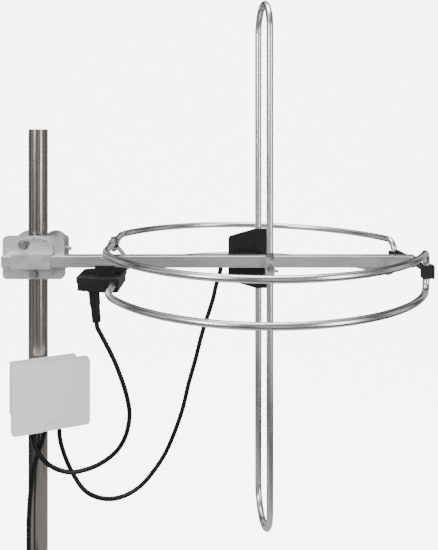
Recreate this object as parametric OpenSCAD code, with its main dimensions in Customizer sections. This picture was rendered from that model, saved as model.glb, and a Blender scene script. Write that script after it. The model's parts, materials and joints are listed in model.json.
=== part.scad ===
// Mast-mounted radio antenna: a ring dipole and an upright dipole on one square boom,
// a tilting mast clamp, a mast box with its leads, and the length of mast that carries them.
// The origin is the centre of the mast's lower end. +Z runs up the mast, +X along the boom.

/* [Mast] */
// Outside diameter of the mast tube
mast_d = 30; // [28:0.5:32]
// Wall of the mast tube
mast_wall = 2; // [1.5:0.5:3]
// Length of the mast tube
mast_len = 851; // [800:1:1000]

/* [Boom] */
// Outside width of the square boom tube
boom_w = 18; // [18:0.5:18]
// Wall of the boom tube
boom_wall = 1.5; // [1:0.5:2]
// Left end of the boom, from the mast axis
boom_x0 = -42; // [-60:1:-42]
// Right end of the boom, from the mast axis
boom_x1 = 581; // [581:1:600]
// Height of the boom axis above the mast's lower end
boom_z = 650; // [640:1:660]

/* [Dipoles] */
// Outside diameter of the dipole tube
rod_d = 10; // [9:0.5:10]
// Wall of the dipole tube
rod_wall = 1; // [0.8:0.1:1.5]
// Centreline radius of the ring
ring_r = 240; // [230:1:250]
// Distance between the ring's upper and lower conductors
ring_gap = 56; // [50:1:60]
// Distance between the two conductors of the upright dipole
loop_gap = 83; // [80:1:84]
// Height of the upright dipole above the boom
loop_up = 389; // [350:1:400]
// Depth of the upright dipole below the boom
loop_down = 395; // [350:1:410]

/* [Clamp] */
// Width of the clamp body
clamp_w = 95; // [90:1:100]
// Height of the clamp body
clamp_h = 66; // [64:1:70]
// Radius of the tilt slot about its pivot
slot_r = 47; // [46:0.5:48]
// Tilt that the slot allows, in degrees
tilt_max = 44; // [30:1:44]

/* [Mast box] */
// Width of the cover
cover_w = 118; // [110:1:125]
// Height of the cover
cover_h = 104; // [95:1:108]
// Turn of the box about the mast, in degrees
box_turn = 25; // [0:1:30]

/* [Leads] */
// Diameter of the coaxial leads
lead_d = 7; // [6:0.5:7]

/* [Hidden] */
$fn = 64;

eps = 0.05;          // clearance between pieces of one body
run_fit = 0.08;      // radial clearance of a turning fit
gap = 0.3;           // clearance between pieces of different bodies
mast_r = mast_d / 2;
foot_r = mast_r - 1;  // swaged foot that enters a socket
foot_len = 60;
boom_y = -40;
boom_h = boom_w / 2;
boom_front = boom_y - boom_h;
boom_back = boom_y + boom_h;

// Ring: each half lies in a plane of its own
ring_x = 352;
rod_r = rod_d / 2;
upper_z = 23;        // upper conductor above the boom axis, at the ring's centre
lower_z = upper_z - ring_gap;
bend_r = 18;         // bends at the ring's far end
inlet_r = 80;        // bends where the conductors turn in towards the boom
bend_swell = 0.04;   // the bender swells the tube by this much
inlet_x = -221;      // straight ends of the lower conductors
inlet_end = 24;      // the lower conductors stop this far from the boom axis
joint_x = -226;      // straight ends and bolted joint of the upper conductors
rear_droop = 1.43;   // the rear half's far end hangs down
front_roll = 1.64;   // the front half leans forward
front_lift = 6.1;    // and stands higher at its centre
front_end = 22;      // where each half's arcs stop, from the boom
rear_end = 26.2;
joint_z = upper_z + 0.6 - joint_x * tan(rear_droop);
tab_t = 2.4;         // thickness of a flattened tube end
tab_w = 14;          // width of a flattened tube end
bridge_z = boom_z + joint_z - 7.6;

// Clamp
clamp_x = 0.5;
clamp_z = 653;
clamp_front = boom_back + gap;
clamp_plate = 9;
clamp_back = -8;
pivot_x = 2;
pivot_z = 629.3;
slot_start = 20.4;   // slot bolt from the upright, at rest
saddle_t = 2;
saddle_x0 = -28;
saddle_x1 = 32;
bolt_r = 3;
jaw_bolt_r = 4;
jaw_bolt_x = 34;
jaw_travel = 12;

// Balun boxes: u runs along the boom, w across the box, t away from its lid
bal_len = 65;
bal_wide = 46;
bal_narrow = 34.5;
bal_taper = 43;
bal_t = 20;
bal_split = 11;
bal_wall = 2;
fm_x = 75;
fm_z = 611.5;
fm_rod_u = 56;
fm_relief_u = 25;
fm_relief_w = -25;
dab_x = 300.8;
dab_y = -0.5;
dab_relief_u = 16;

// Upright dipole
loop_x = 354.2;
loop_y = -51.75;
loop_turn = atan2(12.8, 82.5);
bolt_x = loop_x + loop_gap / 2 * sin(loop_turn);
dab_rod_u = loop_x - loop_gap / 2 * sin(loop_turn) - dab_x;
tab_y = loop_y - loop_gap / 2 * cos(loop_turn);
wing_turn = 20;      // how far the wings stand from level

// Mast box, in its own turned frame: x along its face, y into the mast
cover_x0 = -47.5;
cover_z1 = 495;
cover_z0 = cover_z1 - cover_h;
cover_y0 = -50;
cover_y1 = -38;
cover_t = 2.5;
base_x0 = -46.5;
base_x1 = 53;
base_y1 = -18;
base_z0 = 417;
base_t = 2.5;
hinge_z = 492;
pin_r = 1.2;
knuckle_r = 2.6;
knuckles = [-28, 34];
thumb_r = 16;
socket_y = -28;
socket_x = [-13, 5, 27];     // ring dipole lead, downlead, upright dipole lead
plug_z0 = 397;

// Coil of the downlead, in front of the foot of the mast
coil_r = 42;
coil_w = 16;
coil_t = 22;
coil_y = -66;
coil_z = 125;
tail_drop = 12;      // the tail leaves the coil's foot and ends this far below its turns

// Routes of the leads
fm_route = [
  [104.2, -65, 563.5], [105.2, -65, 555], [110, -64.5, 546], [119, -63.5, 528], [130, -62, 505],
  [140, -60, 478], [148, -58, 451], [152, -56, 424], [149, -53, 400], [142, -51, 380],
  [129, -48, 361], [108, -45, 344], [84, -43, 333], [59, -41, 328], [36, -39, 333],
  [18, -36, 344], [6, -33, 360], [1, -31.5, 376], [0, -30.9, plug_z0]
];
dab_route = [
  [305, 17, 650], [296, 17, 644], [290, 16.5, 634], [287, 16.5, 619], [281, 15.5, 599],
  [275, 14, 574], [260, 11, 528], [248, 8, 482], [238, 6, 447], [228, 4, 406], [215, 2, 369],
  [201, 0, 338], [183, -2, 311], [163, -4, 289], [140, -6, 275], [116, -8, 270], [93, -9, 274],
  [74, -10, 286], [58, -11, 310], [45, -12, 339], [37.5, -13.5, 368], [36.3, -14, plug_z0]
];
down_route = [
  [16.3, -23.3, plug_z0], [16, -23.6, 384], [12, -25, 366], [5, -26, 345], [-2, -26, 315],
  [-6, -26, 280], [-8, -26, 240], [-8, -26, 200], [-8, -26, 175], [-7.4, -27, 157],
  [-7.2, -28, 145]
];

module steel() { color([0.62, 0.61, 0.6]) children(); }
module zinc() { color([0.8, 0.81, 0.82]) children(); }
module aluminium() { color([0.78, 0.79, 0.8]) children(); }
module black_plastic() { color([0.09, 0.09, 0.1]) children(); }
module grey_plastic() { color([0.83, 0.83, 0.83]) children(); }
module rubber() { color([0.05, 0.05, 0.05]) children(); }
module brass() { color([0.75, 0.62, 0.35]) children(); }
module board() { color([0.12, 0.32, 0.2]) children(); }

// Extrudes an outline drawn in x and z from y0 to y1
module along_y(y0, y1) {
  translate([0, y1, 0]) rotate([90, 0, 0]) linear_extrude(y1 - y0) children();
}

module rounded_rect(x0, y0, x1, y1, r) {
  translate([x0 + r, y0]) square([x1 - x0 - 2 * r, y1 - y0]);
  translate([x0, y0 + r]) square([x1 - x0, y1 - y0 - 2 * r]);
  for (x = [x0 + r, x1 - r], y = [y0 + r, y1 - r]) translate([x, y]) circle(r);
}

module y_cylinder(r, y0, y1) {
  translate([0, y1, 0]) rotate([90, 0, 0]) cylinder(r = r, h = y1 - y0);
}

module hex_y(across, y0, y1) {
  translate([0, y1, 0]) rotate([90, 0, 0]) cylinder(d = across / cos(30), h = y1 - y0, $fn = 6);
}

// ---------------------------------------------------------------- mast and clamp
module mast_tube() {
  steel() difference() {
    union() {
      cylinder(r = foot_r, h = foot_len);
      translate([0, 0, foot_len]) cylinder(r = mast_r, h = mast_len - foot_len);
    }
    translate([0, 0, -1]) cylinder(r = foot_r - mast_wall, h = foot_len + 3);
    translate([0, 0, foot_len + 2]) cylinder(r = mast_r - mast_wall, h = mast_len);
  }
}

// Wedge that leaves two faces at 60 degrees each side, gap away from the mast
module mast_vee(z0, z1) {
  apex = (mast_r + gap) / sin(60);
  reach = apex + 2;
  translate([0, 0, z0]) linear_extrude(z1 - z0)
    polygon([[0, -apex], [reach * tan(60), 2], [-reach * tan(60), 2]]);
}

module clamp_body() {
  z0 = clamp_z - clamp_h / 2;
  z1 = clamp_z + clamp_h / 2;
  x0 = clamp_x - clamp_w / 2;
  x1 = clamp_x + clamp_w / 2;
  zinc() difference() {
    union() {
      along_y(clamp_front, clamp_front + clamp_plate) rounded_rect(x0, z0, x1, z1, 7);
      for (z = [z0 + 3, z1 - 11])
        translate([-40, clamp_front + clamp_plate, z])
          cube([80, clamp_back - clamp_front - clamp_plate, 8]);
      for (x = [-jaw_bolt_x, jaw_bolt_x]) translate([x, 0, boom_z])
        y_cylinder(8, clamp_front + clamp_plate, clamp_back - 2);
      for (x = [pivot_x, pivot_x - slot_r * sin(slot_start)])
        translate([x, 0, x == pivot_x ? pivot_z : pivot_z + slot_r * cos(slot_start)])
          y_cylinder(5.5, clamp_front + clamp_plate, -18.5);
    }
    mast_vee(z0 - 1, z1 + 1);
    for (x = [-jaw_bolt_x, jaw_bolt_x]) translate([x, 0, boom_z]) {
      y_cylinder(jaw_bolt_r + eps, clamp_front - 1, clamp_back + 1);
      hex_y(13 + 2 * eps, clamp_front - 1, clamp_front + 5.5);
    }
    translate([pivot_x, 0, pivot_z]) y_cylinder(bolt_r + eps, clamp_front - 1, -17);
    translate([pivot_x - slot_r * sin(slot_start), 0, pivot_z + slot_r * cos(slot_start)])
      y_cylinder(bolt_r + eps, clamp_front - 1, -17);
    translate([x1 - 12, clamp_front + 4.5, 667]) rotate([0, 90, 0]) cylinder(r = 2 + eps, h = 20);
  }
}

module clamp_jaw() {
  z0 = 626;
  z1 = 680;
  zinc() difference() {
    union() {
      along_y(20, 27) {
        rounded_rect(-43, z0, 43, z1, 6);
        for (x = [-22, 22]) intersection() {
          translate([x, z1 - 12]) circle(19.5);
          translate([x - 20, z1 - 6]) square([40, 20]);
        }
      }
      for (z = [z0 + 2, z1 - 10]) translate([-32, 8, z]) cube([64, 12, 8]);
      translate([-26, 20, z0 + 10]) cube([52, 11, 4]);
      translate([-26, 20, z1 - 14]) cube([52, 11, 4]);
    }
    mirror([0, 1, 0]) mast_vee(z0 - 1, z1 + 1);
    for (x = [-jaw_bolt_x, jaw_bolt_x]) translate([x, 0, boom_z]) y_cylinder(jaw_bolt_r + 0.5, 0, 40);
  }
}

module jaw_bolts() {
  steel() for (x = [-jaw_bolt_x, jaw_bolt_x]) translate([x, 0, boom_z]) {
    hex_y(13, clamp_front + 0.3, clamp_front + 5.5);
    y_cylinder(jaw_bolt_r, clamp_front + 5.5, 27 + 8 + jaw_travel + 3);
  }
}

module jaw_nuts() {
  steel() for (x = [-jaw_bolt_x, jaw_bolt_x]) translate([x, 0, boom_z]) difference() {
    union() {
      y_cylinder(8, 27, 28.5);
      hex_y(13, 28.5, 35);
    }
    y_cylinder(jaw_bolt_r + run_fit, 20, 40);
  }
}

module earth_screw() {
  x1 = clamp_x + clamp_w / 2;
  steel() translate([x1, clamp_front + 4.5, 667]) rotate([0, 90, 0]) {
    translate([0, 0, -11]) cylinder(r = 2, h = 21);
    cylinder(r = 4.3, h = 1);
    translate([0, 0, 1]) cylinder(d = 7 / cos(30), h = 3.2, $fn = 6);
    translate([0, 0, 7]) cylinder(r = 3.2, h = 3);
  }
}

// Hex bolt with a washer that bears on the saddle
module clamp_bolt(washer_r) {
  steel() {
    y_cylinder(bolt_r, boom_back - saddle_t - 1.8, -18);
    y_cylinder(washer_r, boom_back - saddle_t - gap - 1.5, boom_back - saddle_t - gap);
    hex_y(10, boom_back - saddle_t - gap - 6, boom_back - saddle_t - gap - 1.5);
  }
}

module pivot_bolt() { translate([pivot_x, 0, pivot_z]) clamp_bolt(7); }

module slot_bolt() {
  translate([pivot_x - slot_r * sin(slot_start), 0, pivot_z + slot_r * cos(slot_start)]) clamp_bolt(7.8);
}

// ---------------------------------------------------------------- boom
module boom_outline(w, r) {
  translate([-w / 2, -w / 2]) rounded_rect(0, 0, w, w, r);
}

module boom_bar(x0, x1, w, r) {
  translate([x0, boom_y, boom_z]) rotate([90, 0, 90]) linear_extrude(x1 - x0) boom_outline(w, r);
}

module boom_tube() {
  aluminium() difference() {
    boom_bar(boom_x0, boom_x1, boom_w, 1.5);
    boom_bar(boom_x0 - 1, boom_x1 + 1, boom_w - 2 * boom_wall, 0.5);
    translate([bolt_x, 0, boom_z]) y_cylinder(bolt_r + eps, boom_front - 1, boom_back + 1);
  }
}

module boom_cap() {
  black_plastic() {
    boom_bar(boom_x0 - 1.5, boom_x0, boom_w - 0.6, 2);
    boom_bar(boom_x0, boom_x0 + 12, boom_w - 2 * boom_wall - 2 * eps, 0.5);
  }
}

module saddle_outline() {
  crown = pivot_z + 55.7;
  foot = crown - 64;
  arc_r = 55.7;
  intersection() {
    rounded_rect(saddle_x0, foot, saddle_x1, crown, 3);
    translate([pivot_x, pivot_z]) circle(arc_r);
    translate([pivot_x, foot + arc_r]) circle(arc_r);
  }
}

module boom_saddle() {
  zinc() difference() {
    union() {
      along_y(boom_back - saddle_t, boom_back) difference() {
        saddle_outline();
        translate([saddle_x0 - 1, boom_z - boom_h]) square([80, boom_w]);
      }
      difference() {
        translate([saddle_x0, boom_front - saddle_t, boom_z - boom_h - saddle_t])
          cube([saddle_x1 - saddle_x0, boom_w, boom_w + 2 * saddle_t]);
        translate([saddle_x0 - 1, boom_front, boom_z - boom_h]) cube([80, boom_w + 1, boom_w]);
      }
    }
    translate([pivot_x, 0, pivot_z]) y_cylinder(bolt_r + run_fit, boom_back - 3, boom_back + 1);
    translate([pivot_x, boom_back + 1, pivot_z]) rotate([90, 0, 0]) {
      rotate([0, 0, 90 + slot_start - tilt_max]) rotate_extrude(angle = tilt_max)
        translate([slot_r - bolt_r - gap, 0]) square([2 * (bolt_r + gap), 4]);
      for (a = [slot_start, slot_start - tilt_max]) rotate([0, 0, 90 + a]) translate([slot_r, 0, 0])
        cylinder(r = bolt_r + gap, h = 4);
    }
  }
}

// ---------------------------------------------------------------- ring dipole
module tube_section(swell = 0) {
  difference() {
    circle(rod_r + swell);
    circle(rod_r + swell - rod_wall);
  }
}

module tube_straight(len, swell = 0) { linear_extrude(len) tube_section(swell); }

// Bend about z in its own frame, starting at angle a0
module tube_bend(r, a0, sweep, swell = 0) {
  rotate([0, 0, a0]) rotate_extrude(angle = sweep) translate([r, 0]) tube_section(swell);
}

// Flattened tube end along +x, round at its far end; z is its thin direction
module flat_end(taper, len) {
  intersection() {
    translate([0, tab_w / 2, 0]) rotate([90, 0, 0]) linear_extrude(tab_w)
      polygon([[0, -rod_r], [0, rod_r], [taper, tab_t / 2], [taper + 1, tab_t / 2],
               [taper + 1, -tab_t / 2], [taper, -tab_t / 2]]);
    translate([0, 0, -rod_r]) linear_extrude(rod_d)
      polygon([[0, -rod_r], [0, rod_r], [taper, tab_w / 2], [taper + 1, tab_w / 2],
               [taper + 1, -tab_w / 2], [taper, -tab_w / 2]]);
    rotate([0, 90, 0]) cylinder(r1 = rod_r, r2 = tab_w, h = taper + 1);
  }
  translate([taper, -tab_w / 2, -tab_t / 2]) cube([len - taper - tab_w / 2, tab_w, tab_t]);
  translate([len - tab_w / 2, 0, -tab_t / 2]) cylinder(d = tab_w, h = tab_t);
}

// Angle at which a bend of inlet_r leaves the ring's circle to run straight at x
function turn_in(x) = acos(-(inlet_r + x) / (ring_r - inlet_r));

// One conductor: its arc, the bend at its near end and the straight that stops stop short of y = 0
module conductor(x, stop, far) {
  a = turn_in(x);
  y = (ring_r - inlet_r) * sin(a);
  tube_bend(ring_r, 180 + a, 180 - a - far);
  translate([x + inlet_r, -y, 0]) tube_bend(inlet_r, 180, a, bend_swell);
  translate([x, -stop, 0]) rotate([90, 0, 0]) tube_straight(y - stop);
}

// Half of the ring on the side of -y; tab_lift sets its flattened end above the joint plane
module ring_half(tab_lift, far) {
  translate([0, 0, upper_z]) {
    conductor(joint_x, 22, far);
    translate([joint_x, -22, tab_lift]) rotate([0, 0, 90]) flat_end(13, 22 + tab_w / 2);
  }
  translate([0, 0, lower_z]) conductor(inlet_x, inlet_end, far);
  rotate([0, 0, -far]) translate([ring_r, 0, 0]) rotate([90, 0, 90]) {
    translate([0, upper_z - bend_r, 0]) tube_bend(bend_r, 0, 90, bend_swell);
    translate([0, lower_z + bend_r, 0]) tube_bend(bend_r, 270, 90, bend_swell);
    translate([bend_r, lower_z + bend_r, 0]) rotate([-90, 0, 0])
      tube_straight(ring_gap - 2 * bend_r, bend_swell);
  }
}

module front_plane() {
  translate([ring_x, boom_y, boom_z + front_lift]) rotate([front_roll, 0, 0]) children();
}

module rear_plane() {
  translate([ring_x, boom_y, boom_z]) rotate([0, rear_droop, 0]) mirror([0, 1, 0]) children();
}

// Upright hole for the screw that joins both halves
module joint_hole() {
  translate([ring_x + joint_x, boom_y, boom_z + boom_h]) cylinder(r = 2.5 + eps, h = 40);
}

module ring_front_half() {
  aluminium() difference() {
    front_plane() ring_half(tab_t / 2 + 0.4, front_end);
    joint_hole();
  }
}

module ring_rear_half() {
  aluminium() difference() {
    rear_plane() ring_half(-tab_t / 2, rear_end);
    joint_hole();
  }
}

module ring_inlet() {
  translate([inlet_x, 1 - inlet_end, lower_z]) rotate([90, 0, 0])
    cylinder(r = rod_r + 2 * eps, h = 40);
}

// Bores that the ring's lower conductors need where they enter the box
module ring_inlets() {
  front_plane() ring_inlet();
  rear_plane() ring_inlet();
}

// Inverted V that stands on the boom, with a lip over the boom's front edge
module ring_bracket() {
  x = ring_x + joint_x;
  foot = boom_z + boom_h;
  zinc() difference() {
    union() {
      along_y(boom_front, boom_back) polygon([
        [x - 17, foot], [x - 7, bridge_z], [x + 7, bridge_z], [x + 17, foot],
        [x + 14, foot], [x + 5.5, bridge_z - 2], [x - 5.5, bridge_z - 2], [x - 14, foot]]);
      for (side = [-1, 1]) along_y(boom_front - 1.5, boom_front) polygon([
        [x + 18 * side, foot - 5], [x + 17 * side, foot], [x + 15 * side, foot + 3.3],
        [x + 12 * side, foot + 3.3], [x + 14 * side, foot], [x + 14 * side, foot - 5]]);
    }
    joint_hole();
  }
}

// Insulating block between the bracket and the flattened tube ends
module joint_spacer() {
  black_plastic() difference() {
    translate([ring_x + joint_x - 6.5, boom_back - 17, bridge_z]) cube([13, 16, 4]);
    joint_hole();
  }
}

module ring_screw() {
  steel() translate([ring_x + joint_x, boom_y, boom_z + joint_z]) {
    translate([0, 0, -15]) cylinder(r = 2.5, h = 16 + tab_t);
    translate([0, 0, tab_t + 0.5]) cylinder(r = 5, h = 1);
    translate([0, 0, tab_t + 1.5]) cylinder(d = 8 / cos(30), h = 3.5, $fn = 6);
    translate([0, 0, -13.2]) cylinder(d = 8 / cos(30), h = 3.5, $fn = 6);
  }
}

// Middle of a half's upright end, in its own plane
function far_end(a) = [ring_r * cos(a) + bend_r * sin(a), -ring_r * sin(a) + bend_r * cos(a),
                       (upper_z + lower_z) / 2];
clip_z = 648;
front_far = [ring_x + far_end(front_end)[0], boom_y + far_end(front_end)[1]];
rear_far = [ring_x + far_end(rear_end)[0], boom_y - far_end(rear_end)[1]];

// Plug in the boom's end with a cross-bar that runs out to the clips
module end_bracket() {
  black_plastic() {
    boom_bar(boom_x1 - 14, boom_x1, boom_w - 2 * boom_wall - 2 * eps, 0.5);
    boom_bar(boom_x1, boom_x1 + 3, boom_w - 0.6, 1.5);
    translate([0, 0, clip_z - 4]) linear_extrude(9) polygon([
      [boom_x1 + 2, boom_y - 12], [front_far[0] + 1, front_far[1] + 7],
      [front_far[0] + 6, front_far[1] + 7], [boom_x1 + 6.5, boom_y - 4],
      [boom_x1 + 6.5, boom_y + 4], [rear_far[0] + 5, rear_far[1] - 7], [rear_far[0], rear_far[1] - 7],
      [boom_x1 + 2, boom_y + 12]]);
  }
}

module far_bore(a) {
  translate([0, 0, -60]) translate(far_end(a)) cylinder(r = rod_r + 2 * eps, h = 120);
}

module end_clips() {
  black_plastic() {
    difference() {
      translate([front_far[0] - 6.5, front_far[1] - 7, clip_z - 9]) cube([17, 14, 19]);
      front_plane() far_bore(front_end);
    }
    difference() {
      translate([rear_far[0] - 8, rear_far[1] - 7, clip_z - 17.5]) cube([17, 14, 19]);
      rear_plane() far_bore(rear_end);
    }
  }
}

// ---------------------------------------------------------------- balun boxes
module bal_outline(inset) {
  n = bal_narrow - inset;
  w = bal_wide - inset;
  k = 3;
  polygon([
    [inset, -n + k], [inset + k, -n], [bal_taper, -w], [bal_len - inset - k, -w],
    [bal_len - inset, -w + k], [bal_len - inset, w - k], [bal_len - inset - k, w],
    [bal_taper, w], [inset + k, n], [inset, n - k]]);
}

module bal_screw_places() {
  for (p = [[9, 24], [9, -24], [59, 8], [59, -8]]) translate([p[0], p[1], 0]) children();
}

module bal_body(rod_u, clip_u, clip_h) {
  difference() {
    union() {
      translate([0, 0, bal_split]) linear_extrude(bal_t - bal_split) bal_outline(0);
      translate([clip_u, -boom_h - 3, bal_t]) cube([30, boom_w + 6, clip_h + 3.5]);
    }
    translate([0, 0, bal_split - 1]) linear_extrude(bal_t - bal_split + 1 - bal_wall) difference() {
      bal_outline(bal_wall + 1.5);
      for (s = [-1, 1]) translate([rod_u, s * 37]) square([16, 16], center = true);
      bal_screw_places() circle(4.5);
    }
    bal_screw_places() translate([0, 0, bal_split - 1]) cylinder(r = 1.5 + eps, h = 8);
    translate([clip_u - 1, -boom_h - eps, bal_t + clip_h]) cube([32, boom_w + 2 * eps, 10]);
  }
}

module bal_lid(rod_u) {
  difference() {
    linear_extrude(bal_split) bal_outline(1.5);
    translate([0, 0, bal_wall]) linear_extrude(bal_split) difference() {
      bal_outline(bal_wall + 1.5);
      for (s = [-1, 1]) translate([rod_u, s * 37]) square([16, 16], center = true);
      bal_screw_places() circle(4.5);
    }
    bal_screw_places() {
      translate([0, 0, -1]) cylinder(r = 1.5 + eps, h = 20);
      translate([0, 0, -1]) cylinder(r = 3, h = 2.2);
    }
  }
}

module bal_screws() {
  steel() bal_screw_places() {
    translate([0, 0, 0.2]) cylinder(r = 2.8, h = 1);
    translate([0, 0, 1.2]) cylinder(r = 1.5, h = 13);
  }
}

module bal_board() {
  board() difference() {
    translate([14, -27, 5.5]) cube([28, 54, 1.6]);
    translate([fm_relief_u, fm_relief_w, 0]) cylinder(r = 5, h = 20);
  }
}

module bal_terminals(rod_u, rod_t) {
  brass() for (s = [-1, 1]) {
    translate([rod_u - 4, s > 0 ? 13 : -21, rod_t - 3.5]) cube([8, 8, 7]);
    translate([rod_u - 3, s > 0 ? 15 : -18, 7.3]) cube([3, 3, 2]);
  }
}

module fm_frame() { translate([fm_x, boom_y, fm_z]) children(); }
module dab_frame() { translate([dab_x, dab_y, boom_z]) rotate([90, 0, 0]) children(); }

fm_rod_t = boom_z + lower_z - inlet_x * tan(rear_droop) - fm_z;
dab_rod_t = dab_y - loop_y - loop_gap / 2 * cos(loop_turn);
fm_clip_h = boom_z - boom_h - fm_z - bal_t;
dab_clip_h = dab_y - bal_t - boom_back;

module fm_box_body() {
  black_plastic() difference() {
    fm_frame() bal_body(fm_rod_u, 24, fm_clip_h);
    ring_inlets();
  }
}

module fm_box_lid() {
  black_plastic() difference() {
    fm_frame() bal_lid(fm_rod_u);
    fm_frame() translate([fm_relief_u, fm_relief_w, -1]) cylinder(r = 5, h = 5);
    ring_inlets();
  }
}

module fm_box_screws() { fm_frame() bal_screws(); }
module fm_board() { fm_frame() bal_board(); }
module fm_terminals() { fm_frame() bal_terminals(fm_rod_u, fm_rod_t); }

// Bores for the upright dipole's rear conductors
module loop_inlets() {
  for (z = [-60, 20]) translate([dab_x + dab_rod_u, dab_y - dab_rod_t, boom_z + z])
    cylinder(r = rod_r + eps, h = 40);
}

module dab_box_body() {
  black_plastic() difference() {
    dab_frame() bal_body(dab_rod_u, 14, dab_clip_h);
    loop_inlets();
  }
}

module dab_box_lid() {
  black_plastic() difference() {
    dab_frame() bal_lid(dab_rod_u);
    dab_frame() translate([dab_relief_u, 0, -1]) cylinder(r = 5, h = 5);
    loop_inlets();
  }
}

module dab_box_screws() { dab_frame() bal_screws(); }
module dab_board() { dab_frame() bal_board(); }
module dab_terminals() { dab_frame() bal_terminals(dab_rod_u, dab_rod_t); }

// Two-stage rubber sleeve that leans with the lead
module fm_strain_relief() {
  rubber() translate([fm_x + fm_relief_u, boom_y + fm_relief_w, fm_z]) {
    rotate([0, 175, 0]) {
      translate([0, 0, 0.9]) cylinder(r = 8, h = 21.1);
      translate([0, 0, 22]) cylinder(r1 = 7, r2 = 6.4, h = 26.1);
    }
    translate([0, 0, -2.6]) cylinder(r = 9, h = 2.6);
    cylinder(r = 4.9, h = 4);
  }
}

// Elbow sleeve that leaves the lid sideways, towards the mast
module dab_strain_relief() {
  rubber() {
    translate([dab_x + dab_relief_u, dab_y - 4, boom_z]) rotate([-90, 0, 0]) cylinder(r = 4.9, h = 4);
    translate([dab_x + dab_relief_u, dab_y, boom_z]) rotate([-90, 0, 0]) cylinder(r = 8, h = 24);
    translate([dab_x + dab_relief_u, 17, boom_z]) rotate([0, -90, 0])
      cylinder(r1 = 6.6, r2 = 5.6, h = dab_x + dab_relief_u - 305);
  }
}

// ---------------------------------------------------------------- upright dipole
// One U loop, drawn upwards; rise is its height above the boom axis, and tab_lift moves its
// flattened end along the bolt
module dab_loop(rise, tab_lift) {
  bend = loop_gap / 2;
  half = [bend * sin(loop_turn), bend * cos(loop_turn)];
  translate([loop_x, loop_y, 0]) {
    translate([-half[0], half[1], 22]) tube_straight(rise - bend - 22);
    translate([half[0], -half[1], 22]) {
      tube_straight(rise - bend - 22);
      translate([0, tab_lift, 0]) rotate([-90, 90, 0]) difference() {
        flat_end(13, 22 + tab_w / 2);
        translate([22, 0, -tab_w]) cylinder(r = bolt_r + eps, h = 2 * tab_w);
      }
    }
    translate([0, 0, rise - bend]) rotate([90, 0, -90 + loop_turn])
      tube_bend(bend, 0, 180, bend_swell);
  }
}

module dab_upper_loop() {
  aluminium() translate([0, 0, boom_z]) dab_loop(loop_up, tab_t / 2);
}

module dab_lower_loop() {
  aluminium() translate([0, 0, boom_z]) mirror([0, 0, 1]) dab_loop(loop_down, -tab_t / 2);
}

module dab_bolt() {
  steel() translate([bolt_x, 0, boom_z]) {
    hex_y(10, boom_back, boom_back + 4);
    y_cylinder(bolt_r, tab_y - tab_t - 13, boom_back);
  }
}

module dab_nuts() {
  steel() translate([bolt_x, 0, boom_z]) for (y = [boom_front, tab_y + tab_t + 5]) difference() {
    hex_y(10, y - 5, y);
    y_cylinder(bolt_r + eps, y - 6, y + 1);
  }
}

module wing_nut() {
  y1 = tab_y - tab_t - gap;
  steel() translate([bolt_x, y1, boom_z]) rotate([0, wing_turn, 0]) difference() {
    union() {
      rotate([90, 0, 0]) cylinder(r1 = 5.5, r2 = 4.5, h = 8);
      for (side = [-1, 1]) translate([side * 7.5, -6.5, -1.2]) cylinder(r = 5, h = 2.4);
    }
    y_cylinder(bolt_r + run_fit, -20, 1);
  }
}

// ---------------------------------------------------------------- mast box
module box_frame() { rotate([0, 0, box_turn]) children(); }

module box_base() {
  grey_plastic() box_frame() difference() {
    union() {
      translate([base_x0, cover_y1 + gap, base_z0])
        cube([base_x1 - base_x0, base_y1 - cover_y1 - gap, cover_z1 - base_z0]);
      for (x = knuckles) translate([x, cover_y1, hinge_z]) rotate([0, 90, 0])
        cylinder(r = knuckle_r, h = 7, center = true);
    }
    translate([base_x0 + base_t, cover_y1 - 10, base_z0 + base_t])
      cube([base_x1 - base_x0 - 2 * base_t, base_y1 - cover_y1 + 10 - base_t,
            cover_z1 - base_z0 - 8 - base_t]);
    difference() {
      translate([base_x0 - 1, cover_y1 - 8, hinge_z - 3.6]) cube([base_x1 - base_x0 + 2, 11.6, 12]);
      for (x = knuckles) {
        translate([x - 3.5, cover_y1, hinge_z - 1.2]) cube([7, 10, 2.4]);
        translate([x, cover_y1, hinge_z]) rotate([0, 90, 0])
          cylinder(r = knuckle_r, h = 7, center = true);
      }
    }
    translate([-80, cover_y1, hinge_z]) rotate([0, 90, 0]) cylinder(r = pin_r + run_fit, h = 160);
    for (x = socket_x) translate([x, socket_y, base_z0 - 1]) cylinder(r = 4.5 + eps, h = 10);
    for (z = [437, 455]) translate([0, base_y1 - 5, z]) rotate([-90, 0, 0]) cylinder(r = 1.5 + eps, h = 10);
  }
}

module box_cover() {
  grey_plastic() box_frame() difference() {
    union() {
      difference() {
        along_y(cover_y0, cover_y1) rounded_rect(cover_x0, cover_z0, cover_x0 + cover_w, cover_z1, 5);
        along_y(cover_y0 + cover_t, cover_y1 + 1)
          rounded_rect(cover_x0 + cover_t, cover_z0 + cover_t, cover_x0 + cover_w - cover_t,
                       cover_z1 - cover_t, 3);
      }
      for (x = knuckles, s = [-1, 1])
        translate([x + s * 6 - 2, cover_y1 - 5, hinge_z - 2.6]) cube([4, 5, 4]);
    }
    translate([cover_x0 + cover_t + 5, cover_y1 - 9, cover_z0 - 1])
      cube([cover_w - 2 * cover_t - 10, 10, 6]);
    for (x = knuckles) {
      translate([x, cover_y1, hinge_z]) rotate([0, 90, 0])
        cylinder(r = knuckle_r + 3 * gap, h = 7.6, center = true);
      translate([x - 10, cover_y1, hinge_z]) rotate([0, 90, 0]) cylinder(r = pin_r + eps, h = 20);
    }
    along_y(cover_y0 - 1, cover_y0 + 1.2)
      translate([cover_x0 + cover_w / 2 + 3, cover_z0 - 1]) circle(thumb_r);
  }
}

module cover_pins() {
  steel() box_frame() for (x = knuckles) translate([x - 7.5, cover_y1, hinge_z]) rotate([0, 90, 0])
    cylinder(r = pin_r, h = 15);
}

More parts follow.
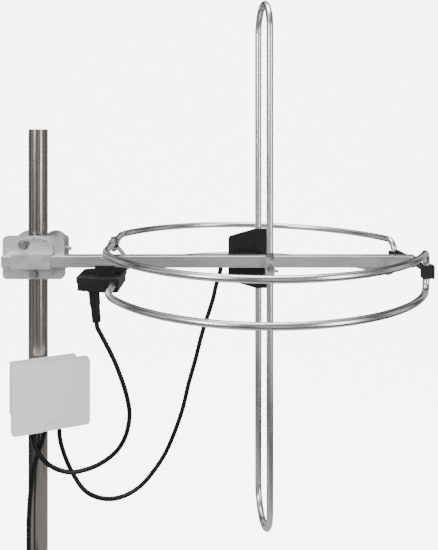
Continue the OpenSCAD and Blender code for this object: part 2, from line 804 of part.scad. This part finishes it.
module box_bracket() {
  steel() box_frame() difference() {
    union() {
      translate([0, 0, 439]) cylinder(r = mast_r + gap + 2, h = 14);
      translate([-14, base_y1, 430]) cube([28, 3, 32]);
      translate([-7, mast_r - 1, 439]) cube([14, 12, 14]);
    }
    translate([0, 0, 400]) cylinder(r = mast_r + gap, h = 100);
    translate([-1.5, 5, 430]) cube([3, 30, 40]);
    translate([-20, mast_r + 6.5, 446]) rotate([0, 90, 0]) cylinder(r = 2 + eps, h = 40);
    for (z = [434, 458]) translate([0, base_y1 - 5, z]) rotate([-90, 0, 0]) cylinder(r = 1.5 + eps, h = 10);
    translate([-30, -40, 400]) cube([60, 22, 100]);
  }
}

module bracket_screw() {
  steel() box_frame() translate([0, mast_r + 6.5, 446]) rotate([0, 90, 0]) {
    translate([0, 0, -11]) cylinder(r = 2, h = 22);
    translate([0, 0, -11.2]) cylinder(d = 7 / cos(30), h = 4, $fn = 6);
    translate([0, 0, 7.2]) cylinder(d = 7 / cos(30), h = 3.2, $fn = 6);
  }
}

module box_board() {
  board() box_frame() translate([-38, -24, 428]) cube([82, 1.6, 52]);
}

module box_shield() {
  steel() box_frame() difference() {
    translate([-25, -33, 436]) cube([56, 9, 38]);
    translate([-24.2, -32.2, 436.8]) cube([54.4, 9, 36.4]);
  }
}

module box_sockets() {
  brass() box_frame() for (x = socket_x) translate([x, socket_y, 0]) {
    translate([0, 0, base_z0 - 8]) cylinder(r = 4.5, h = 14);
    translate([0, 0, base_z0 - 3]) cylinder(r = 6, h = 3);
    translate([0, 0, base_z0 + 6]) cylinder(r = 1, h = 5);
  }
}

module box_plugs() {
  steel() box_frame() for (x = socket_x) translate([x, socket_y, 0]) difference() {
    union() {
      translate([0, 0, plug_z0 + 6]) cylinder(d = 11 / cos(30), h = 10, $fn = 6);
      translate([0, 0, plug_z0]) cylinder(r = 4.6, h = 6);
    }
    translate([0, 0, base_z0 - 8]) cylinder(r = 4.5 + eps, h = 10);
  }
}

// ---------------------------------------------------------------- leads
function unit(v) = v / norm(v);
function way(p, i) = unit(p[min(i + 1, len(p) - 1)] - p[max(i - 1, 0)]);
function side(t) = unit(cross(t, abs(t[1]) < 0.9 ? [0, 1, 0] : [1, 0, 0]));
function ring(c, t, r, n) = [for (k = [0:n - 1])
  c + r * (cos(360 * k / n) * side(t) + sin(360 * k / n) * cross(t, side(t)))];

// Round cord swept along a route, square to its two end directions
module cord(p, first, last) {
  n = 8;
  m = len(p);
  points = [for (i = [0:m - 1])
    each ring(p[i], i == 0 ? first : i == m - 1 ? last : way(p, i), lead_d / 2, n)];
  faces = concat(
    [[for (k = [0:n - 1]) k]],
    [for (i = [0:m - 2], k = [0:n - 1]) [i * n + k, (i + 1) * n + k, (i + 1) * n + (k + 1) % n]],
    [for (i = [0:m - 2], k = [0:n - 1]) [i * n + k, (i + 1) * n + (k + 1) % n, i * n + (k + 1) % n]],
    [[for (k = [n - 1:-1:0]) (m - 1) * n + k]]);
  polyhedron(points, faces);
}

module fm_lead() { rubber() cord(fm_route, [sin(5), 0, -cos(5)], [0, 0, 1]); }
module dab_lead() { rubber() cord(dab_route, [-1, 0, 0], [0, 0, 1]); }
module downlead() { rubber() cord(down_route, [0, 0, -1], [0, 0, -1]); }

module downlead_coil() {
  rubber() translate([0, coil_y, coil_z]) rotate([0, 90, 0]) rotate_extrude()
    translate([coil_r - coil_w / 2, -coil_t / 2]) square([coil_w, coil_t]);
}

module downlead_plug() {
  steel() translate([0, coil_y - 20, coil_z - coil_r - tail_drop]) rotate([90, 0, 0]) {
    cylinder(r = 4.6, h = 8);
    translate([0, 0, 8]) cylinder(d = 11 / cos(30), h = 12, $fn = 6);
  }
}

// Band round the mast and the near side of the coil
module coil_tie() {
  half = coil_t / 2 + 0.2;
  inner = mast_r + gap;
  reach = coil_y + coil_r - coil_w / 2 - 0.2;
  black_plastic() translate([0, 0, coil_z - 3]) linear_extrude(6) difference() {
    union() {
      circle(inner + 1.6);
      translate([-half - 1.6, reach - 1.6]) square([2 * half + 3.2, 1.6 - reach]);
    }
    circle(inner);
    translate([-half, reach]) square([2 * half, coil_w + 0.4]);
    translate([-half, -20]) square([2 * half, 8]);
  }
}

mast_tube();
clamp_body();
clamp_jaw();
jaw_bolts();
jaw_nuts();
earth_screw();
pivot_bolt();
slot_bolt();
boom_tube();
boom_cap();
boom_saddle();
end_bracket();
end_clips();
ring_front_half();
ring_rear_half();
ring_bracket();
ring_screw();
joint_spacer();
fm_box_body();
fm_box_lid();
fm_box_screws();
fm_board();
fm_terminals();
fm_strain_relief();
dab_box_body();
dab_box_lid();
dab_box_screws();
dab_board();
dab_terminals();
dab_strain_relief();
dab_upper_loop();
dab_lower_loop();
dab_bolt();
dab_nuts();
wing_nut();
box_base();
box_cover();
cover_pins();
box_bracket();
bracket_screw();
box_board();
box_shield();
box_sockets();
box_plugs();
fm_lead();
dab_lead();
downlead();
downlead_coil();
downlead_plug();
coil_tie();
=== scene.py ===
"""Looks of a mast-mounted radio antenna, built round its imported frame. All lengths are in metres."""

import math

import bmesh
import bpy
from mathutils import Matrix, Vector
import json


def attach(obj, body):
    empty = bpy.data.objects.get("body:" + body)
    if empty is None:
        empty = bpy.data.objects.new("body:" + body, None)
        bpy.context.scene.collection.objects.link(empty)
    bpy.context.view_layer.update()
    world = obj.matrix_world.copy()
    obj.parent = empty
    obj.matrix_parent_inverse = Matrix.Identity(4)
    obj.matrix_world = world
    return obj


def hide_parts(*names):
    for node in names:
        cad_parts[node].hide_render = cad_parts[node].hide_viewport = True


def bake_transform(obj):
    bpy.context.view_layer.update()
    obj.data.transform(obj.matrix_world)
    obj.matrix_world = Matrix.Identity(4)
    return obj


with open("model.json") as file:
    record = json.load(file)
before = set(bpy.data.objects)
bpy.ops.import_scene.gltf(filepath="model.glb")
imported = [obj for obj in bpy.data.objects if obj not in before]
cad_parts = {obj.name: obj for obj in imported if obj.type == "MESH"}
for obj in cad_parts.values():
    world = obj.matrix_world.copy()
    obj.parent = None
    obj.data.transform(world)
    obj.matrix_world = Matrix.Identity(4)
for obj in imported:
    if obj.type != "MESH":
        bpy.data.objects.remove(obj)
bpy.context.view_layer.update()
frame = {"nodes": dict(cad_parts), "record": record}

MM = 0.001
LEAD_R = 3.5 * MM
LEAD_SIDES = 20
LEAD_STEP = 4 * MM

# ---------------------------------------------------------------- camera
IMAGE_H = 550
FOCAL_PX = 700
SENSOR = 36


def make_camera():
    data = bpy.data.cameras.new("camera")
    data.sensor_width = SENSOR
    data.lens = SENSOR * FOCAL_PX / IMAGE_H
    data.shift_x = -4 / IMAGE_H
    data.shift_y = -143 / IMAGE_H
    data.clip_start = 0.01
    camera = bpy.data.objects.new("camera", data)
    bpy.context.scene.collection.objects.link(camera)
    camera.location = (0.2925, -1.108, 0.8466)
    camera.rotation_euler = (math.radians(90), 0, 0)
    bpy.context.scene.camera = camera


make_camera()


# ---------------------------------------------------------------- mesh helpers
def new_mesh(name, build):
    """A smooth-shaded object whose mesh is filled by build(bm)."""
    mesh = bpy.data.meshes.new(name)
    bm = bmesh.new()
    build(bm)
    bmesh.ops.recalc_face_normals(bm, faces=bm.faces)
    bm.to_mesh(mesh)
    bm.free()
    mesh.shade_smooth()
    obj = bpy.data.objects.new(name, mesh)
    bpy.context.scene.collection.objects.link(obj)
    return obj


def smooth_route(points, step):
    """Points about step apart on a Catmull-Rom curve through the given ones."""
    p = [Vector(q) for q in points]
    out = [p[0]]
    for i in range(len(p) - 1):
        a, b, c, d = p[max(i - 1, 0)], p[i], p[i + 1], p[min(i + 2, len(p) - 1)]
        parts = max(1, round((c - b).length / step))
        for k in range(1, parts + 1):
            s = k / parts
            out.append(0.5 * (2 * b + (c - a) * s + (2 * a - 5 * b + 4 * c - d) * s ** 2
                              + (3 * b - a - 3 * c + d) * s ** 3))
    return out


def sweep(bm, points, radius, sides):
    """Round tube along points, turned as little as possible from ring to ring."""
    count = len(points)
    normal = None
    rings = []
    for i, p in enumerate(points):
        t = (points[min(i + 1, count - 1)] - points[max(i - 1, 0)]).normalized()
        if normal is None:
            normal = t.orthogonal()
        normal = (normal - t * normal.dot(t)).normalized()
        other = t.cross(normal)
        rings.append([bm.verts.new(p + radius * (math.cos(2 * math.pi * k / sides) * normal
                                                 + math.sin(2 * math.pi * k / sides) * other))
                      for k in range(sides)])
    for a, b in zip(rings, rings[1:]):
        for k in range(sides):
            n = (k + 1) % sides
            bm.faces.new((a[k], a[n], b[n], b[k]))
    bm.faces.new(rings[0][::-1])
    bm.faces.new(rings[-1])


# ---------------------------------------------------------------- leads
FM_ROUTE = [
    (0.1042, -0.065, 0.5635), (0.1052, -0.065, 0.555), (0.11, -0.0645, 0.546),
    (0.119, -0.0635, 0.528), (0.13, -0.062, 0.505), (0.14, -0.06, 0.478), (0.148, -0.058, 0.451),
    (0.152, -0.056, 0.424), (0.149, -0.053, 0.4), (0.142, -0.051, 0.38), (0.129, -0.048, 0.361),
    (0.108, -0.045, 0.344), (0.084, -0.043, 0.333), (0.059, -0.041, 0.328), (0.036, -0.039, 0.333),
    (0.018, -0.036, 0.344), (0.006, -0.033, 0.36), (0.001, -0.0315, 0.376), (0, -0.0309, 0.397),
]
DAB_ROUTE = [
    (0.305, 0.017, 0.65), (0.296, 0.017, 0.644), (0.29, 0.0165, 0.634), (0.287, 0.0165, 0.619),
    (0.281, 0.0155, 0.599), (0.275, 0.014, 0.574), (0.26, 0.011, 0.528), (0.248, 0.008, 0.482),
    (0.238, 0.006, 0.447), (0.228, 0.004, 0.406), (0.215, 0.002, 0.369), (0.201, 0, 0.338),
    (0.183, -0.002, 0.311), (0.163, -0.004, 0.289), (0.14, -0.006, 0.275), (0.116, -0.008, 0.27),
    (0.093, -0.009, 0.274), (0.074, -0.01, 0.286), (0.058, -0.011, 0.31), (0.045, -0.012, 0.339),
    (0.0375, -0.0135, 0.368), (0.0363, -0.014, 0.397),
]
DOWN_ROUTE = [
    (0.0163, -0.0233, 0.397), (0.016, -0.0236, 0.384), (0.012, -0.025, 0.366),
    (0.005, -0.026, 0.345), (-0.002, -0.026, 0.315), (-0.006, -0.026, 0.28), (-0.008, -0.026, 0.24),
    (-0.008, -0.026, 0.2), (-0.008, -0.026, 0.175), (-0.0074, -0.027, 0.157),
]
COIL_Y = -0.066
COIL_Z = 0.125
COIL_COLUMN = 7.2 * MM
COIL_TURNS = [  # radius and column at the end of each turn
    (38.6 * MM, -1), (38.6 * MM, 0), (38.6 * MM, 1), (45.7 * MM, 1), (45.7 * MM, 0),
]
COIL_START = math.radians(20)
COIL_CROSSING = 0.4  # share of a turn that leads over to the next one
TURN_POINTS = 24
TAIL_POINTS = 7      # points of the last turn on its way to the tail
COIL_TAIL = [(0, -0.0631, 0.0774), (0, -0.0758, 0.0728), (0, -0.0809, 0.0714), (0, -0.086, 0.071)]


def coil_points():
    """Turns of the downlead in front of the foot of the mast, then its tail into the plug."""
    points = []
    for turn, (radius, column) in enumerate(COIL_TURNS[:-1]):
        next_radius, next_column = COIL_TURNS[turn + 1]
        last = turn == len(COIL_TURNS) - 2
        for k in range(TURN_POINTS + (TAIL_POINTS if last else 0)):
            s = min(max((k / TURN_POINTS - 1 + COIL_CROSSING) / COIL_CROSSING, 0), 1)
            s = s * s * (3 - 2 * s)
            r = radius + (next_radius - radius) * s
            x = COIL_COLUMN * (column + (next_column - column) * s)
            a = math.radians(360) * k / TURN_POINTS - COIL_START
            points.append(Vector((x, COIL_Y + r * math.cos(a), COIL_Z - r * math.sin(a))))
    return points + [Vector(p) for p in COIL_TAIL]


def lead(name, points):
    return new_mesh(name, lambda bm: sweep(bm, points, LEAD_R, LEAD_SIDES))


def make_leads():
    fm = lead("fm_lead_jacket", smooth_route(FM_ROUTE, LEAD_STEP))
    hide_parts("fm_lead")
    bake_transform(fm)
    dab = lead("dab_lead_jacket", smooth_route(DAB_ROUTE, LEAD_STEP))
    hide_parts("dab_lead")
    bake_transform(dab)
    route = smooth_route(DOWN_ROUTE + [tuple(p) for p in coil_points()], LEAD_STEP)
    down = lead("downlead_jacket", route)
    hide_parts("downlead", "downlead_coil")
    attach(down, "head")
    return [fm, dab, down]


leads = make_leads()


# ---------------------------------------------------------------- materials
class Look:
    """A procedural material under construction."""

    def __init__(self, name, colour, metallic, roughness, **sockets):
        self.material = bpy.data.materials.new(name)
        self.material.use_nodes = True
        self.tree = self.material.node_tree
        self.shader = self.tree.nodes["Principled BSDF"]
        self.colour = colour
        self.shader.inputs["Base Color"].default_value = (*colour, 1)
        self.shader.inputs["Metallic"].default_value = metallic
        self.shader.inputs["Roughness"].default_value = roughness
        for key, value in sockets.items():
            self.shader.inputs[key.replace("_", " ")].default_value = value
        self.coords = self.tree.nodes.new("ShaderNodeTexCoord").outputs["Object"]
        self.height = None

    def node(self, kind, **inputs):
        n = self.tree.nodes.new(kind)
        for key, value in inputs.items():
            socket = n.inputs[key.replace("_", " ")]
            if isinstance(value, bpy.types.NodeSocket):
                self.tree.links.new(value, socket)
            else:
                socket.default_value = value
        return n

    def noise(self, scale, stretch=(1, 1, 1), detail=4, rough=0.55):
        place = self.node("ShaderNodeMapping", Vector=self.coords, Scale=stretch)
        n = self.node("ShaderNodeTexNoise", Vector=place.outputs[0], Scale=scale, Detail=detail,
                      Roughness=rough)
        return n.outputs[0]

    def cells(self, scale, randomness=1.0):
        n = self.node("ShaderNodeTexVoronoi", Vector=self.coords, Scale=scale, Randomness=randomness)
        return n.outputs

    def spread(self, value, low, high, from_low=0.3, from_high=0.7):
        n = self.node("ShaderNodeMapRange", Value=value)
        n.inputs["From Min"].default_value = from_low
        n.inputs["From Max"].default_value = from_high
        n.inputs["To Min"].default_value = low
        n.inputs["To Max"].default_value = high
        return n.outputs[0]

    def shade(self, value, other, low=0.0, high=1.0, from_low=0.3, from_high=0.7):
        """Blends the base colour towards other as value rises."""
        mix = self.tree.nodes.new("ShaderNodeMix")
        mix.data_type = "RGBA"
        self.tree.links.new(self.spread(value, low, high, from_low, from_high), mix.inputs["Factor"])
        socket = self.shader.inputs["Base Color"]
        if socket.is_linked:
            self.tree.links.new(socket.links[0].from_socket, mix.inputs["A"])
        else:
            mix.inputs["A"].default_value = (*self.colour, 1)
        mix.inputs["B"].default_value = (*other, 1)
        self.tree.links.new(mix.outputs["Result"], socket)

    def roughen(self, value, low, high, from_low=0.3, from_high=0.7):
        self.tree.links.new(self.spread(value, low, high, from_low, from_high),
                            self.shader.inputs["Roughness"])

    def bump(self, value, depth, strength=1.0):
        n = self.node("ShaderNodeBump", Height=value, Distance=depth, Strength=strength)
        if self.height is not None:
            self.tree.links.new(self.height, n.inputs["Normal"])
        self.height = n.outputs[0]
        self.tree.links.new(self.height, self.shader.inputs["Normal"])


def mast_steel():
    look = Look("mast_steel", (0.36, 0.335, 0.31), 1.0, 0.24)
    drawn = look.noise(700, (1, 1, 0.02))
    look.shade(drawn, (0.25, 0.23, 0.21), 0, 0.6)
    look.shade(look.noise(9, (1, 1, 0.5), 3), (0.46, 0.44, 0.41), 0, 0.5)
    marks = look.noise(60, (2, 2, 0.25), 6, 0.7)
    look.shade(marks, (0.12, 0.11, 0.1), 0, 0.8, 0.66, 0.75)
    look.roughen(drawn, 0.17, 0.32)
    look.bump(drawn, 0.03 * MM, 0.5)
    return look.material


def rod_aluminium():
    look = Look("rod_aluminium", (0.86, 0.86, 0.87), 1.0, 0.24)
    look.shade(look.noise(25, (1, 1, 1), 3), (0.78, 0.78, 0.79), 0, 0.7)
    look.roughen(look.noise(30, (1, 1, 1), 2), 0.23, 0.28)
    look.bump(look.noise(900, (1, 1, 1), 3), 0.0004 * MM, 0.1)
    return look.material


def boom_aluminium():
    look = Look("boom_aluminium", (0.8, 0.8, 0.81), 1.0, 0.32)
    brushed = look.noise(1500, (0.02, 1, 1), 3)
    look.shade(brushed, (0.7, 0.7, 0.71), 0, 0.7)
    look.shade(look.noise(14, (1, 1, 1), 3), (0.86, 0.86, 0.87), 0, 0.5)
    look.roughen(brushed, 0.26, 0.42)
    look.bump(brushed, 0.02 * MM, 0.4)
    return look.material


def zinc():
    look = Look("zinc_plate", (0.58, 0.59, 0.6), 0.85, 0.36)
    edges = look.cells(320)["Distance"]
    look.shade(edges, (0.5, 0.51, 0.52), 0, 0.5, 0.1, 0.6)
    look.shade(look.noise(38, (1, 1, 1), 4), (0.68, 0.69, 0.7), 0, 0.7)
    look.shade(look.noise(150, (1, 1, 1), 5, 0.7), (0.3, 0.3, 0.3), 0, 0.45, 0.62, 0.8)
    look.roughen(look.noise(90), 0.32, 0.52)
    look.bump(look.noise(500, (1, 1, 1), 3), 0.05 * MM, 0.4)
    return look.material


def bolt_steel():
    look = Look("bolt_steel", (0.48, 0.47, 0.46), 1.0, 0.26)
    turned = look.noise(500, (1, 0.2, 1), 4)
    look.shade(turned, (0.3, 0.3, 0.29), 0, 0.7)
    look.roughen(look.noise(300), 0.2, 0.42)
    look.bump(turned, 0.03 * MM, 0.5)
    return look.material


def black_plastic(name, colour, roughness):
    look = Look(name, colour, 0.0, roughness, Specular_IOR_Level=0.35)
    grain = look.noise(1400, (1, 1, 1), 3)
    look.shade(look.noise(30, (1, 1, 1), 4), tuple(2.1 * c for c in colour), 0, 0.6)
    look.roughen(look.noise(160), roughness - 0.08, roughness + 0.1)
    look.bump(grain, 0.06 * MM, 0.5)
    return look.material


def grey_plastic():
    look = Look("grey_plastic", (0.86, 0.855, 0.86), 0.0, 0.42, Specular_IOR_Level=0.45)
    grain = look.noise(900, (1, 1, 1), 3)
    look.shade(look.noise(12, (1, 1, 1), 3), (0.9, 0.895, 0.9), 0, 0.7)
    look.shade(look.noise(70, (1, 1, 1), 6, 0.7), (0.78, 0.78, 0.78), 0, 0.3, 0.6, 0.8)
    look.roughen(look.noise(120), 0.36, 0.5)
    look.bump(grain, 0.03 * MM, 0.4)
    return look.material


def lead_jacket():
    look = Look("lead_jacket", (0.003, 0.003, 0.003), 0.0, 0.42, Specular_IOR_Level=0.3)
    look.shade(look.noise(60, (1, 1, 1), 4), (0.006, 0.006, 0.006), 0, 0.8)
    look.roughen(look.noise(220), 0.28, 0.46)
    look.bump(look.noise(800, (1, 1, 1), 3), 0.05 * MM, 0.4)
    return look.material


def circuit_board():
    look = Look("circuit_board", (0.02, 0.11, 0.045), 0.0, 0.35)
    tracks = look.cells(260, 0.15)["Distance"]
    look.shade(tracks, (0.05, 0.22, 0.09), 0, 1, 0.28, 0.34)
    look.roughen(look.noise(200), 0.28, 0.45)
    look.bump(tracks, 0.06 * MM, 0.5)
    return look.material


def plain_metal(name, colour, roughness):
    look = Look(name, colour, 1.0, roughness)
    look.shade(look.noise(260, (1, 1, 1), 5), tuple(0.7 * c for c in colour), 0, 0.6)
    look.roughen(look.noise(400), roughness - 0.06, roughness + 0.12)
    look.bump(look.noise(900), 0.02 * MM, 0.4)
    return look.material


def ink():
    look = Look("stamped_mark", (0.1, 0.1, 0.105), 0.6, 0.5)
    look.shade(look.noise(400), (0.2, 0.2, 0.2), 0, 0.7)
    look.bump(look.noise(900), 0.02 * MM, 0.4)
    return look.material


LOOKS = {
    "stamped_mark": ink(),
    "mast_steel": mast_steel(),
    "rod_aluminium": rod_aluminium(),
    "boom_aluminium": boom_aluminium(),
    "zinc": zinc(),
    "bolt_steel": bolt_steel(),
    "black_plastic": black_plastic("black_plastic", (0.004, 0.004, 0.0045), 0.45),
    "black_clip": black_plastic("black_clip", (0.007, 0.007, 0.0075), 0.5),
    "rubber": black_plastic("rubber", (0.0035, 0.0035, 0.0035), 0.5),
    "grey_plastic": grey_plastic(),
    "circuit_board": circuit_board(),
    "shield_tin": plain_metal("shield_tin", (0.72, 0.72, 0.7), 0.32),
    "brass": plain_metal("brass", (0.72, 0.53, 0.22), 0.3),
    "plug_nickel": plain_metal("plug_nickel", (0.66, 0.65, 0.62), 0.26),
    "lead_jacket": lead_jacket(),
}
SLOT_OF = {s["node"]: s["material_slot"] for s in frame["record"]["subparts"]}


def paint(obj, slot):
    obj.data.materials.clear()
    obj.data.materials.append(LOOKS[slot])


def soften(obj, width):
    """Small rounded edges, as moulded and pressed parts have."""
    weld = obj.modifiers.new("weld", "WELD")
    weld.merge_threshold = 0.00001
    bevel = obj.modifiers.new("bevel", "BEVEL")
    bevel.width = width
    bevel.segments = 2
    bevel.limit_method = "ANGLE"
    bevel.angle_limit = math.radians(40)
    bevel.harden_normals = True


SOFT_EDGES = {
    "box_cover": 1.0 * MM, "fm_box_body": 0.8 * MM, "fm_box_lid": 0.8 * MM, "dab_box_body": 0.8 * MM,
    "dab_box_lid": 0.8 * MM, "clamp_body": 0.6 * MM, "end_clips": 0.8 * MM, "boom_saddle": 0.4 * MM,
    "end_bracket": 0.6 * MM, "wing_nut": 0.3 * MM, "ring_bracket": 0.3 * MM,
}

for name, obj in frame["nodes"].items():
    paint(obj, SLOT_OF[name])
    if name in SOFT_EDGES:
        soften(obj, SOFT_EDGES[name])
for obj in leads:
    paint(obj, "lead_jacket")


# ---------------------------------------------------------------- small visible detail
SADDLE_FACE_Y = -0.033
TICK_Y = -0.0332
TICK_R = 0.4 * MM
TICK_PROUD = 0.5     # how far a tick stands off the face, as a share of its own depth
TICKS = [(0.0115, 0.682, 0), (0.0205, 0.6795, 12), (0.0028, 0.683, -8)]  # x, z and lean in degrees
TICK_SHAPE = [(-0.0028, -0.002), (0, 0.0018), (0.0028, -0.002)]
THREAD_R = 0.22 * MM
THREAD_SIDES = 14


def saddle_ticks():
    """Angle marks on the saddle beside its slot."""
    def build(bm):
        for x, z, lean in TICKS:
            turn = math.radians(lean)
            points = [Vector((x + px * math.cos(turn) + pz * math.sin(turn), TICK_Y,
                              z - px * math.sin(turn) + pz * math.cos(turn)))
                      for px, pz in TICK_SHAPE]
            for a, b in zip(points, points[1:]):
                sweep(bm, [a, b], TICK_R, 8)
        for v in bm.verts:
            v.co.y = SADDLE_FACE_Y + TICK_PROUD * (v.co.y - TICK_Y)

    obj = new_mesh("saddle_ticks", build)
    paint(obj, "stamped_mark")
    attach(obj, "boom")


def thread(name, start, end, radius, pitch, body):
    """Raised turns of thread on a bolt between start and end."""
    a, b = Vector(start), Vector(end)
    axis = (b - a).normalized()
    u = axis.orthogonal().normalized()
    v = axis.cross(u)
    turns = (b - a).length / pitch
    steps = int(turns * THREAD_SIDES)
    points = [a + (b - a) * (k / steps)
              + radius * (math.cos(2 * math.pi * k / THREAD_SIDES) * u
                          + math.sin(2 * math.pi * k / THREAD_SIDES) * v)
              for k in range(steps + 1)]
    obj = new_mesh(name, lambda bm: sweep(bm, points, THREAD_R, 6))
    paint(obj, "bolt_steel")
    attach(obj, body)


saddle_ticks()
thread("dipole_bolt_thread", (0.36056, -0.0523, 0.65), (0.36056, -0.0862, 0.65), 3 * MM, 1.0 * MM, "boom")


# ---------------------------------------------------------------- floor, backdrop and lights
STAGE_REACH = 6      # the sheet's half width, its length in front and its height
STAGE_BACK = 3.0
STAGE_CURVE = 1.2
CURVE_STEPS = 12
FLAG_COUNT = 9
FLAG_HALF = math.radians(9)
FLAG_RADIUS = 1.9
FLAG_Z = (0.02, 2.6)
BAND_SIDES = 24
CARDS_X = 0.2        # the cards stand round this place on the x axis


def make_stage():
    """One pale sheet: a floor that curves up into a backdrop behind the antenna.

    It glows by itself and neither lights the antenna nor shows in its metal.
    """
    curve_y = STAGE_BACK - STAGE_CURVE
    profile = [(-STAGE_REACH, 0), (curve_y, 0)]
    for k in range(1, CURVE_STEPS + 1):
        a = math.radians(90) * k / CURVE_STEPS
        profile.append((curve_y + STAGE_CURVE * math.sin(a), STAGE_CURVE - STAGE_CURVE * math.cos(a)))
    profile.append((STAGE_BACK, STAGE_REACH))

    def build(bm):
        rows = [[bm.verts.new((x, y, z)) for y, z in profile] for x in (-STAGE_REACH, STAGE_REACH)]
        for k in range(len(profile) - 1):
            bm.faces.new((rows[0][k], rows[1][k], rows[1][k + 1], rows[0][k + 1]))

    sheet = new_mesh("stage_sheet", build)
    look = Look("stage_paper", (0.95, 0.95, 0.95), 0.0, 0.8, Emission_Color=(1, 1, 1, 1),
                Emission_Strength=6.0)
    look.shade(look.noise(3), (0.97, 0.97, 0.97), 0, 1)
    sheet.data.materials.append(look.material)
    sheet.visible_diffuse = False
    sheet.visible_glossy = False


def area_light(name, place, target, size, power):
    data = bpy.data.lights.new(name, "AREA")
    data.shape = "RECTANGLE"
    data.size, data.size_y = size
    data.energy = power
    light = bpy.data.objects.new(name, data)
    bpy.context.scene.collection.objects.link(light)
    light.location = place
    light.rotation_euler = (Vector(target) - Vector(place)).to_track_quat("-Z", "Y").to_euler()


def black_card(name, build):
    """Matt black card that the camera doesn't see, for the dark bands in the metal."""
    card = new_mesh(name, build)
    look = Look(name, (0.012, 0.012, 0.013), 0.0, 0.9)
    look.shade(look.noise(6), (0.02, 0.02, 0.02), 0, 1)
    card.data.materials.append(look.material)
    card.visible_camera = False
    card.visible_diffuse = False
    card.visible_shadow = False
    card.visible_transmission = False


def make_cards():
    """Upright flags all round, a sloping band above the antenna and a flat one near the floor."""
    def flags(bm):
        for k in range(FLAG_COUNT):
            for side in (-1, 1):
                a = math.radians(360) * (k + 0.5) / FLAG_COUNT + side * FLAG_HALF
                x, y = FLAG_RADIUS * math.cos(a) + CARDS_X, FLAG_RADIUS * math.sin(a)
                low, high = [bm.verts.new((x, y, z)) for z in FLAG_Z]
                if side < 0:
                    first = low, high
            bm.faces.new((first[0], low, high, first[1]))

    def band(radius_low, z_low, radius_high, z_high):
        def build(bm):
            step = math.radians(360) / BAND_SIDES
            rings = [[bm.verts.new((radius * math.cos(step * k) + CARDS_X, radius * math.sin(step * k), z))
                      for k in range(BAND_SIDES)]
                     for radius, z in ((radius_low, z_low), (radius_high, z_high))]
            for k in range(BAND_SIDES):
                n = (k + 1) % BAND_SIDES
                bm.faces.new((rings[0][k], rings[0][n], rings[1][n], rings[1][k]))
        return build

    black_card("upright_flags", flags)
    black_card("upper_band", band(1.75, 1.55, 1.45, 2.15))
    black_card("lower_band", band(0.75, 0.01, 1.5, 0.01))


def make_lights():
    world = bpy.data.worlds.new("studio")
    world.use_nodes = True
    world.node_tree.nodes["Background"].inputs["Color"].default_value = (1, 1, 1, 1)
    world.node_tree.nodes["Background"].inputs["Strength"].default_value = 0.55
    bpy.context.scene.world = world
    target = (0.25, 0, 0.65)
    area_light("key", (-1.0, -1.7, 1.7), target, (0.8, 1.6), 48)
    area_light("fill", (1.7, -1.5, 1.0), target, (0.6, 1.8), 20)
    area_light("top", (0.3, -0.1, 2.6), target, (1.4, 1.0), 34)


make_stage()
make_cards()
make_lights()
